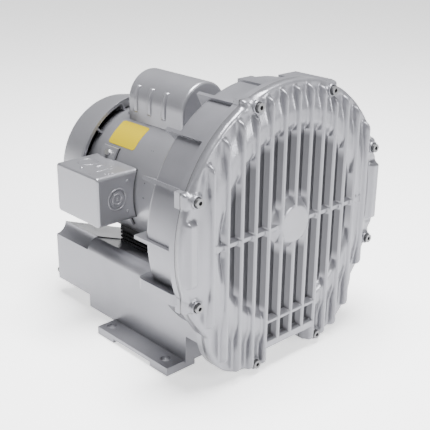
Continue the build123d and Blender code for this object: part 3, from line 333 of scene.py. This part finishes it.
def one_fin(x, z, base, step):
    """Station of the surface with one upright fin: drafted sides, round ends, filleted root."""
    top = sqrt(FIN_CIRCLE_R ** 2 - (step * FIN_PITCH) ** 2)
    if abs(step) == SHORT_FIN:
        top = SHORT_FIN_TOP
    low = -FIN_BOTTOMS[abs(step)]
    run = np.maximum(z - (top - FIN_END_R), (low + FIN_END_R) - z)
    bend = np.minimum(np.maximum(run, 0), FIN_END_R)
    drop = FIN_END_R - np.sqrt(FIN_END_R ** 2 - bend ** 2)
    crest = np.where(run < FIN_END_R, np.minimum(FIN_FRONT + drop, base), base)
    tall = base - crest
    u = abs(x - step * FIN_PITCH)
    edge = FIN_EDGE_DROP * np.clip((u - (FIN_TOP_HALF - FIN_EDGE)) / FIN_EDGE, 0, 1) ** 2
    root = np.minimum(FIN_FILLET, tall)
    wall = np.clip((u - FIN_TOP_HALF) / (FIN_ROOT_HALF - FIN_TOP_HALF), 0, 1)
    side = crest + edge + wall * (tall - root)
    fin = np.where(u < FIN_ROOT_HALF, side, fillet(base, u - FIN_ROOT_HALF, root))
    return np.minimum(fin, base)


def cross_rib(x, z, base, centre_z, half, top, half_x):
    """Station of the surface with one level rib that ties the fins together."""
    u = abs(z - centre_z)
    wall = np.clip((u - (half - RIB_EDGE)) / RIB_EDGE, 0, 1)
    rib = top + wall * np.maximum(base - FIN_FILLET - top, 0)
    rib = np.where(u < half, rib, fillet(base, u - half, FIN_FILLET))
    return np.where(abs(x) < half_x, np.minimum(rib, base), base)


def cover_front(x, z):
    """Station of the cover's front surface."""
    r = np.hypot(x, z)
    base = WEB_FRONT - BULGE_RISE * eased(r, *BULGE_START)
    base = base + (FLANGE_FRONT - WEB_FRONT + BULGE_RISE) * eased(r, *BULGE_END)
    base = base + (WEB_FRONT - base) * stripper(x, z)
    front = base.copy()
    for step in range(-LAST_FIN, LAST_FIN + 1):
        front = np.minimum(front, one_fin(x, z, base, step))
    cone = HUB_FRONT + (r - HUB_DISC_R) / (HUB_FOOT_R - HUB_DISC_R) * (WEB_FRONT - HUB_FRONT)
    cone = np.where(r < HUB_DISC_R, HUB_FRONT, cone)
    disc = HUB_FRONT + HUB_EDGE_DROP * eased(r, *HUB_EDGE)
    front = np.where(r < HUB_EDGE[1], disc, np.minimum(front, cone))
    for rib in CROSS_RIBS:
        front = np.minimum(front, cross_rib(x, z, base, *rib))
    for side in (-1, 1):
        away = boxed(x, z, (side * BUMP_X, BUMP_Z), BUMP_HALF_X, BUMP_HALF_Z)
        bump = BUMP_FRONT + (FLANGE_FRONT - BUMP_FRONT) * eased(away, *BUMP_SIDE)
        groove = GROOVE_DEPTH * np.exp(-((away - GROOVE_AT) / GROOVE_WIDTH) ** 2)
        front = np.minimum(front, bump) + groove
    for spot in list(LOW_SCREWS) + RIM_SCREWS:
        front = np.where(np.hypot(x - spot[0], z - spot[1]) < BOSS_R, SEAT_FRONT, front)
    to_lug = np.min([np.hypot(x - spot[0], z - spot[1]) for spot in RIM_SCREWS], axis=0)
    near_lug, past_lug = LUG_ROUND_REACH
    edge = RIM_ROUND + (LUG_ROUND - RIM_ROUND) * eased(-to_lug, -past_lug, -near_lug)
    near = np.clip(edge + outline_distance(x, z), 0, edge)
    return front + edge - np.sqrt(np.maximum(edge ** 2 - near ** 2, 0))


def cover_rear(x, z):
    """Station of the hidden back: joint face, open channel and web."""
    r = np.hypot(x, z)
    rear = np.where(r < CHANNEL_OUT_R, CHANNEL_BACK, COVER_BACK)
    closed = (abs(x) < STRIPPER_BACK_HALF) & (z < -STRIPPER_TOP[0]) & (r < CHANNEL_OUT_R)
    rear = np.where((r < CHANNEL_IN_R) | closed, WEB_BACK, rear)
    return np.where(r < HUB_POCKET_R, HUB_POCKET_BACK, rear)


def grid_lines(features, spread, low, high, coarse):
    """Grid lines close together round the features and coarse between them."""
    lines = [f + s * o for f in features for o in spread for s in (-1, 1)]
    for value in np.arange(low, high + coarse, coarse):
        if min(abs(value - line) for line in lines) > coarse * COARSE_CLEARANCE:
            lines.append(value)
    lines = sorted(v for v in lines if low <= v <= high)
    kept = [lines[0]]
    for value in lines[1:]:
        if value - kept[-1] > CLOSEST_LINES:
            kept.append(value)
    return np.array(kept)


def built(shape, name, finish):
    """Smooth piece from a finished edit mesh."""
    mesh = bpy.data.meshes.new(name)
    shape.to_mesh(mesh)
    shape.free()
    mesh.shade_smooth()
    mesh.materials.append(finish)
    made = bpy.data.objects.new(name, mesh)
    bpy.context.scene.collection.objects.link(made)
    return made


def finned_cover():
    """Closed cover: front surface and back on one grid, trimmed to the outline."""
    fins = [k * FIN_PITCH for k in range(-LAST_FIN, LAST_FIN + 1)]
    xs = grid_lines(fins + [-BUMP_X, BUMP_X], FIN_LINES, -FIN_GRID_REACH, FIN_GRID_REACH,
                    FIN_GRID_STEP)
    zs = grid_lines([rib[0] for rib in CROSS_RIBS], RIB_LINES, *RIB_GRID_REACH, RIB_GRID_STEP)
    x, z = np.meshgrid(xs, zs, indexing="ij")
    inside = outline_distance(x, z) < 0
    cell = inside[:-1, :-1] | inside[1:, :-1] | inside[:-1, 1:] | inside[1:, 1:]
    for _ in range(TRIM_ROUNDS):
        away = outline_distance(x, z)
        slope_x = (outline_distance(x + TRIM_PROBE, z) - away) / TRIM_PROBE
        slope_z = (outline_distance(x, z + TRIM_PROBE) - away) / TRIM_PROBE
        size = np.maximum(slope_x ** 2 + slope_z ** 2, TRIM_LEAST_SLOPE)
        pull = np.where(inside, 0, np.maximum(away, 0))
        x, z = x - pull * slope_x / size, z - pull * slope_z / size
    height = z + SHAFT_Z / MM
    layers = [np.stack([x, station, height], -1).reshape(-1, 3)
              for station in (cover_front(x, z), cover_rear(x, z))]
    shape = bmesh.new()
    points = [shape.verts.new(v) for v in np.concatenate(layers) * MM]
    index, shift = np.arange(x.size).reshape(x.shape), x.size
    corners = [c[cell] for c in (index[:-1, :-1], index[1:, :-1], index[1:, 1:], index[:-1, 1:])]
    for quad in zip(*corners):
        shape.faces.new([points[i] for i in quad])
        shape.faces.new([points[i + shift] for i in reversed(quad)])
    shape.verts.index_update()
    rim = [e for e in shape.edges if len(e.link_faces) == 1 and e.verts[0].index < shift]
    for edge in rim:
        start, end = [v.index for v in edge.verts]
        order = [v.index for v in edge.link_faces[0].verts]
        if order[(order.index(start) + 1) % 4] == end:
            start, end = end, start
        shape.faces.new([points[start], points[end], points[end + shift], points[start + shift]])
    bmesh.ops.delete(shape, geom=[v for v in shape.verts if not v.link_faces], context="VERTS")
    bmesh.ops.remove_doubles(shape, verts=shape.verts, dist=1e-5)
    bmesh.ops.recalc_face_normals(shape, faces=shape.faces)
    return built(shape, "cover_casting", cover_silver_painted_shade)


def paint_recess_shade(made):
    """Painted shade: the coat is darker deep between the fins and in the low pocket below the hub, where shade
    falls; upward faces and the middle cross rib keep the full coat, as light from above falls on them.
    """
    tree = made.node_tree
    shader = tree.nodes["Principled BSDF"]
    place, split = tree.nodes.new("ShaderNodeTexCoord"), tree.nodes.new("ShaderNodeSeparateXYZ")
    tree.links.new(place.outputs["Object"], split.inputs["Vector"])

    def maths(kind, *values):
        node = tree.nodes.new("ShaderNodeMath")
        node.operation = kind
        for slot, value in zip(node.inputs, values):
            if isinstance(value, float):
                slot.default_value = value
            else:
                tree.links.new(value, slot)
        return node.outputs[0]

    def step(value, low, high):
        node = tree.nodes.new("ShaderNodeMapRange")
        node.interpolation_type = "SMOOTHSTEP"
        node.inputs["From Min"].default_value, node.inputs["From Max"].default_value = low, high
        tree.links.new(value, node.inputs["Value"])
        return node.outputs["Result"]

    x, z = split.outputs["X"], maths("SUBTRACT", split.outputs["Z"], SHAFT_Z)
    r = maths("SQRT", maths("ADD", maths("MULTIPLY", x, x), maths("MULTIPLY", z, z)))
    bay = maths("MULTIPLY", step(r, *SHADE_HUB), maths("SUBTRACT", 1.0, step(r, *SHADE_CHANNEL)))
    level = maths("MULTIPLY", maths("LESS_THAN", z, POCKET_TOP),
                  maths("GREATER_THAN", z, POCKET_BOTTOM))
    pocket = maths("MULTIPLY", maths("LESS_THAN", maths("ABSOLUTE", x), POCKET_HALF_X), level)
    facing = tree.nodes.new("ShaderNodeNewGeometry")
    turned = tree.nodes.new("ShaderNodeSeparateXYZ")
    tree.links.new(facing.outputs["Normal"], turned.inputs["Vector"])
    # Faces turned upward are left out of the painted shade, as light from above falls on them.
    turned_from_top_light = maths("SUBTRACT", 1.0, step(turned.outputs["Z"], *SHADE_UPWARD))
    shallow, deep = SHADE_DEPTH
    painted_shade_amount = maths("MULTIPLY", maths("MAXIMUM", bay, pocket),
                  step(split.outputs["Y"], shallow, deep))
    painted_shade_amount = maths("MULTIPLY", maths("MULTIPLY", painted_shade_amount, turned_from_top_light),
                  step(maths("ABSOLUTE", z), *SHADE_RIB))
    # Painted shade: the coat colour is multiplied towards a dark grey by this amount.
    mix = tree.nodes.new("ShaderNodeMix")
    mix.data_type, mix.blend_type = "RGBA", "MULTIPLY"
    coat = shader.inputs["Base Color"].links[0].from_socket
    tree.links.new(painted_shade_amount, mix.inputs["Factor"])
    tree.links.new(coat, mix.inputs["A"])
    mix.inputs["B"].default_value = PAINTED_SHADE_COLOUR
    tree.links.new(mix.outputs["Result"], shader.inputs["Base Color"])


# The cover's coat, with painted shade deep between the fins and in the low pocket below the hub.
cover_silver_painted_shade = coated_metal("cover_silver_painted_shade", COVER_SILVER, 0.6, 0.31, 0.35, 0.0016)
paint_recess_shade(cover_silver_painted_shade)
cover = finned_cover()
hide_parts("front_cover")
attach(cover, "frame")

# ------------------------------------------------------------------ seats of the cover screws
# Collars cast on the lugs and turned flat, one round the head of each of the eight cover screws.
# Outline as radius and station, in millimetres.
SEAT_COLLAR = ((5.5, -125.5), (5.5, -129.0), (5.8, -129.4), (6.5, -129.4), (7.1, -128.8),
               (7.3, -125.5))


def repeated(name, element, places, size, finish):
    """Copies of one small mesh at a list of places, made by a geometry node tree."""
    tree = bpy.data.node_groups.new(name + "_tree", "GeometryNodeTree")
    tree.interface.new_socket("Places", in_out="INPUT", socket_type="NodeSocketGeometry")
    tree.interface.new_socket("Element", in_out="INPUT", socket_type="NodeSocketObject")
    tree.interface.new_socket("Size", in_out="INPUT", socket_type="NodeSocketFloat")
    tree.interface.new_socket("Copies", in_out="OUTPUT", socket_type="NodeSocketGeometry")
    entry, leave = tree.nodes.new("NodeGroupInput"), tree.nodes.new("NodeGroupOutput")
    source = tree.nodes.new("GeometryNodeObjectInfo")
    spread = tree.nodes.new("GeometryNodeInstanceOnPoints")
    real = tree.nodes.new("GeometryNodeRealizeInstances")
    coat = tree.nodes.new("GeometryNodeSetMaterial")
    coat.inputs["Material"].default_value = finish
    tree.links.new(entry.outputs["Places"], spread.inputs["Points"])
    tree.links.new(entry.outputs["Element"], source.inputs["Object"])
    tree.links.new(source.outputs["Geometry"], spread.inputs["Instance"])
    tree.links.new(entry.outputs["Size"], spread.inputs["Scale"])
    tree.links.new(spread.outputs["Instances"], real.inputs["Geometry"])
    tree.links.new(real.outputs["Geometry"], coat.inputs["Geometry"])
    tree.links.new(coat.outputs["Geometry"], leave.inputs["Copies"])
    holder = mesh_object(name + "_places", places, [])
    maker = holder.modifiers.new("maker", "NODES")
    maker.node_group = tree
    sockets = {i.name: i.identifier for i in tree.interface.items_tree if i.in_out == "INPUT"}
    maker[sockets["Element"]] = element
    maker[sockets["Size"]] = size
    seen = holder.evaluated_get(bpy.context.evaluated_depsgraph_get())
    mesh = bpy.data.meshes.new_from_object(seen)
    mesh.name = name
    mesh.shade_smooth()
    piece = bpy.data.objects.new(name, mesh)
    bpy.context.scene.collection.objects.link(piece)
    holder.modifiers.remove(maker)
    bpy.data.objects.remove(holder)
    bpy.data.objects.remove(element)
    return piece


def lathed(name, outline, centre_z=0.0, count=32):
    """Closed ring from a closed outline of (radius, station) turned about a line along Y."""
    vertices, faces, steps = [], [], len(outline)
    for i in range(count):
        c, s = cos(2 * pi * i / count), sin(2 * pi * i / count)
        vertices += [(radius * s, station, centre_z + radius * c) for radius, station in outline]
    for i in range(count):
        for j in range(steps):
            a, b = i * steps, (i + 1) % count * steps
            faces.append((a + j, b + j, b + (j + 1) % steps, a + (j + 1) % steps))
    return mesh_object(name, vertices, faces)


collar = lathed("seat_collar", [(r * MM, y * MM) for r, y in SEAT_COLLAR])
seats = repeated("screw_seats", collar, [(x * MM, 0, SHAFT_Z + z * MM)
                                         for x, z in list(LOW_SCREWS) + RIM_SCREWS],
                 1.0, cast_silver)
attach(seats, "frame")

# ------------------------------------------------------------------ port block
# Separate aluminium block with the two threaded ports, screwed to the rear of the muffler with a
# gasket between them.
softened("port_block", "port_casting", 1.2 * MM)

# ------------------------------------------------------------------ motor casings
# Rolled steel shell between two cast bells, a pressed fan cover, the junction box and the long
# round-topped capacitor cover, all in the smooth grey coat.
softened("front_end_bell", "front_bell_casting", 0.8 * MM)
softened("fan_cover", "fan_cover_pressing", 0.8 * MM)
softened("junction_box", "junction_box_pressing", 0.7 * MM)
softened("capacitor_cover", "capacitor_cover_pressing", 0.6 * MM)

# ------------------------------------------------------------------ ring of the cooling fan
# Black moulding: the fan's blades are closed on the inlet side by a ring moulded in one with them,
# with an open eye in the middle.
FAN_EYE_R, FAN_RING_T = 0.026, 0.0016
fan_low, fan_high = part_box("cooling_fan")
fan_back, fan_reach = fan_high[1], (fan_high[0] - fan_low[0]) / 2
shroud = lathed("fan_shroud", [(FAN_EYE_R, fan_back), (FAN_EYE_R, fan_back - FAN_RING_T),
                               (fan_reach, fan_back - FAN_RING_T), (fan_reach, fan_back)],
                SHAFT_Z, 64)
shroud.data.materials.append(black_moulding)
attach(shroud, "rotor")

# ------------------------------------------------------------------ pads of the capacitor cover
# Three stiffening pads pressed outward in each long side of the steel cover. They follow its side
# up onto the round top. Sizes in millimetres.
PAD_YS, PAD_WIDTH, PAD_RISE, PAD_END = (47.5, 74.0, 100.0), 8.5, 3.0, 4.0
PAD_STRAIGHT, PAD_TURN = 13.0, radians(36)
PAD_SUNK, PAD_BACK = 0.4, 0.9
PAD_STEPS_ACROSS, PAD_STEPS_ALONG = 10, 28
CAP_HALF, CAP_CENTRE_Z = 34.5, 97.0


def side_pad(side):
    """One upright pad on the left (-1) or right (1) side."""
    rows, across, along = [], PAD_STEPS_ACROSS, PAD_STEPS_ALONG
    length = PAD_STRAIGHT + CAP_HALF * PAD_TURN
    for i in range(along + 1):
        s = length * i / along
        angle = max(0.0, (s - PAD_STRAIGHT) / CAP_HALF)
        height = CAP_CENTRE_Z + (CAP_HALF * sin(angle) if angle else s - PAD_STRAIGHT)
        out = CAP_HALF * cos(angle)
        end = min(1.0, min(s, length - s) / PAD_END)
        full = sqrt(max(0.0, 1 - (1 - end) ** 2))
        spread = [-1 + 2 * j / across for j in range(across + 1)]
        for t in spread:
            rise = PAD_RISE * full * (1 - abs(t) ** 3) - PAD_SUNK
            rows.append((side * (out + rise * cos(angle)) * MM, t * PAD_WIDTH / 2 * MM,
                         SHAFT_Z + (height + rise * sin(angle)) * MM))
        for t in reversed(spread):
            rows.append((side * (out - PAD_BACK) * MM, t * PAD_WIDTH / 2 * MM,
                         SHAFT_Z + height * MM))
    ring = 2 * (across + 1)
    faces = [(i * ring + j, i * ring + (j + 1) % ring, (i + 1) * ring + (j + 1) % ring,
              (i + 1) * ring + j) for i in range(along) for j in range(ring)]
    faces += [tuple(range(ring)), tuple(along * ring + j for j in reversed(range(ring)))]
    made = mesh_object("side_pad", rows, faces)
    shape = bmesh.new()
    shape.from_mesh(made.data)
    bmesh.ops.recalc_face_normals(shape, faces=shape.faces)
    shape.to_mesh(made.data)
    shape.free()
    return made


for side, name in ((-1, "left_pads"), (1, "right_pads")):
    pads = repeated(name, side_pad(side), [(0, y * MM, 0) for y in PAD_YS], 1.0, motor_grey)
    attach(pads, "frame")

# ------------------------------------------------------------------ marks of the junction box
# Marks pressed in the box's steel, a little proud of its walls: knock-out rings, pips and bars.
# Wall, centre from the shaft and radius in millimetres; a bar has its two ends and a radius.
MARK_T, MARK_RISE, RING_SIDES, TUBE_SIDES = 1.0, 0.45, 40, 8
BAR_TAPER, BAR_SHOULDER = 0.25, 0.06
BOX_RINGS = (("front", (-105.5, 46.5, 3.0), 12.6), ("front", (-105.5, 46.5, 3.0), 6.4),
             ("top", (-103.5, 106.0, 34.0), 11.5))
BOX_PIPS = (("front", (-105.5, 46.5, 3.0), 1.4), ("front", (-90.6, 46.5, 22.5), 1.6),
            ("front", (-90.8, 46.5, -14.6), 1.6), ("top", (-121.5, 93.0, 34.0), 2.6),
            ("top", (-116.0, 54.6, 34.0), 1.5), ("top", (-112.0, 53.6, 34.0), 1.5),
            ("top", (-107.5, 52.8, 34.0), 1.5))
BOX_BARS = (((-107.5, 85.0, 34.0), (-95.0, 82.4, 34.0), 2.0),
            ((-119.0, 69.0, 34.0), (-91.0, 67.2, 34.0), 1.0))
# Direction away from each wall, the wall's second direction, and the squash of a pip on it.
BOX_WALLS = {"front": (Vector((0, -1, 0)), Vector((0, 0, 1)), (1, MARK_RISE, 1, 1)),
             "top": (Vector((0, 0, 1)), Vector((0, 1, 0)), (1, 1, MARK_RISE, 1))}


def low_tube(shape, points, radius, normal, closed):
    """Flattened tube along a line of points on a wall; its ends taper unless it is closed."""
    rings, count = [], len(points)
    for i, point in enumerate(points):
        ahead = points[(i + 1) % count] if closed or i + 1 < count else point
        behind = points[i - 1] if closed or i > 0 else point
        along = (ahead - behind).normalized()
        wide = BAR_TAPER if not closed and i in (0, count - 1) else 1.0
        lift = normal * radius * MARK_RISE
        over = along.cross(normal).normalized() * radius
        rings.append([shape.verts.new((point + wide * (over * cos(a) + lift * sin(a))) * MM)
                      for a in [2 * pi * k / TUBE_SIDES for k in range(TUBE_SIDES)]])
    for i in range(count if closed else count - 1):
        one, two = rings[i], rings[(i + 1) % count]
        for k in range(TUBE_SIDES):
            after = (k + 1) % TUBE_SIDES
            shape.faces.new((one[k], one[after], two[after], two[k]))
    if not closed:
        shape.faces.new(rings[0])
        shape.faces.new(list(reversed(rings[-1])))


def box_marks():
    """One mesh of all the pressed marks."""
    shape, shaft = bmesh.new(), Vector((0, 0, SHAFT_Z / MM))
    turn = [2 * pi * k / RING_SIDES for k in range(RING_SIDES)]
    for wall, centre, radius in BOX_RINGS:
        normal, other, _ = BOX_WALLS[wall]
        line = [Vector(centre) + shaft + radius * (Vector((1, 0, 0)) * cos(a) + other * sin(a))
                for a in turn]
        low_tube(shape, line, MARK_T, normal, True)
    for wall, centre, radius in BOX_PIPS:
        placed = Matrix.Translation((Vector(centre) + shaft) * MM)
        bmesh.ops.create_uvsphere(shape, u_segments=12, v_segments=6, radius=radius * MM,
                                  matrix=placed @ Matrix.Diagonal(BOX_WALLS[wall][2]))
    for start, end, radius in BOX_BARS:
        start, end = Vector(start) + shaft, Vector(end) + shaft
        line = [start, start.lerp(end, BAR_SHOULDER), start.lerp(end, 1 - BAR_SHOULDER), end]
        low_tube(shape, line, radius, BOX_WALLS["top"][0], False)
    bmesh.ops.recalc_face_normals(shape, faces=shape.faces)
    return built(shape, "box_marks", motor_grey)


marks = box_marks()
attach(marks, "frame")

# ------------------------------------------------------------------ plain decal
# Yellow vinyl decal stuck on the round shell, left without any print.
DECAL_ANGLES = (radians(118.5), radians(143.0))
DECAL_Y = (0.067, 0.117)
DECAL_R, DECAL_T, DECAL_CORNER, DECAL_STEPS = 0.0813, 0.0003, 0.003, 24
DECAL_YELLOW, DECAL_ROUGHNESS, DECAL_SHINE = (0.33, 0.25, 0.0, 1), 0.6, 0.15
decal_material, _, decal_shader = new_material("yellow_vinyl")
decal_shader.inputs["Base Color"].default_value = DECAL_YELLOW
decal_shader.inputs["Roughness"].default_value = DECAL_ROUGHNESS
decal_shader.inputs["Specular IOR Level"].default_value = DECAL_SHINE


def curved_decal():
    """Thin rounded rectangle wrapped on the shell."""
    rows = []
    arc_length = DECAL_R * (DECAL_ANGLES[1] - DECAL_ANGLES[0])
    for i in range(DECAL_STEPS + 1):
        s = arc_length * i / DECAL_STEPS
        short = DECAL_CORNER - min(s, arc_length - s, DECAL_CORNER)
        inset = DECAL_CORNER - sqrt(max(DECAL_CORNER ** 2 - short ** 2, 0))
        angle = DECAL_ANGLES[0] + s / DECAL_R
        for radius in (DECAL_R, DECAL_R - DECAL_T):
            for y in (DECAL_Y[0] + inset, DECAL_Y[1] - inset):
                rows.append((radius * cos(angle), y, SHAFT_Z + radius * sin(angle)))
    faces = []
    for i in range(DECAL_STEPS):
        a, b = 4 * i, 4 * i + 4
        faces += [(a, a + 1, b + 1, b), (a + 2, b + 2, b + 3, a + 3), (a, b, b + 2, a + 2),
                  (a + 1, a + 3, b + 3, b + 1)]
    last = 4 * DECAL_STEPS
    faces += [(0, 2, 3, 1), (last, last + 1, last + 3, last + 2)]
    return mesh_object("yellow_decal", rows, faces, smooth=False)


decal = curved_decal()
decal.data.materials.append(decal_material)
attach(decal, "frame")
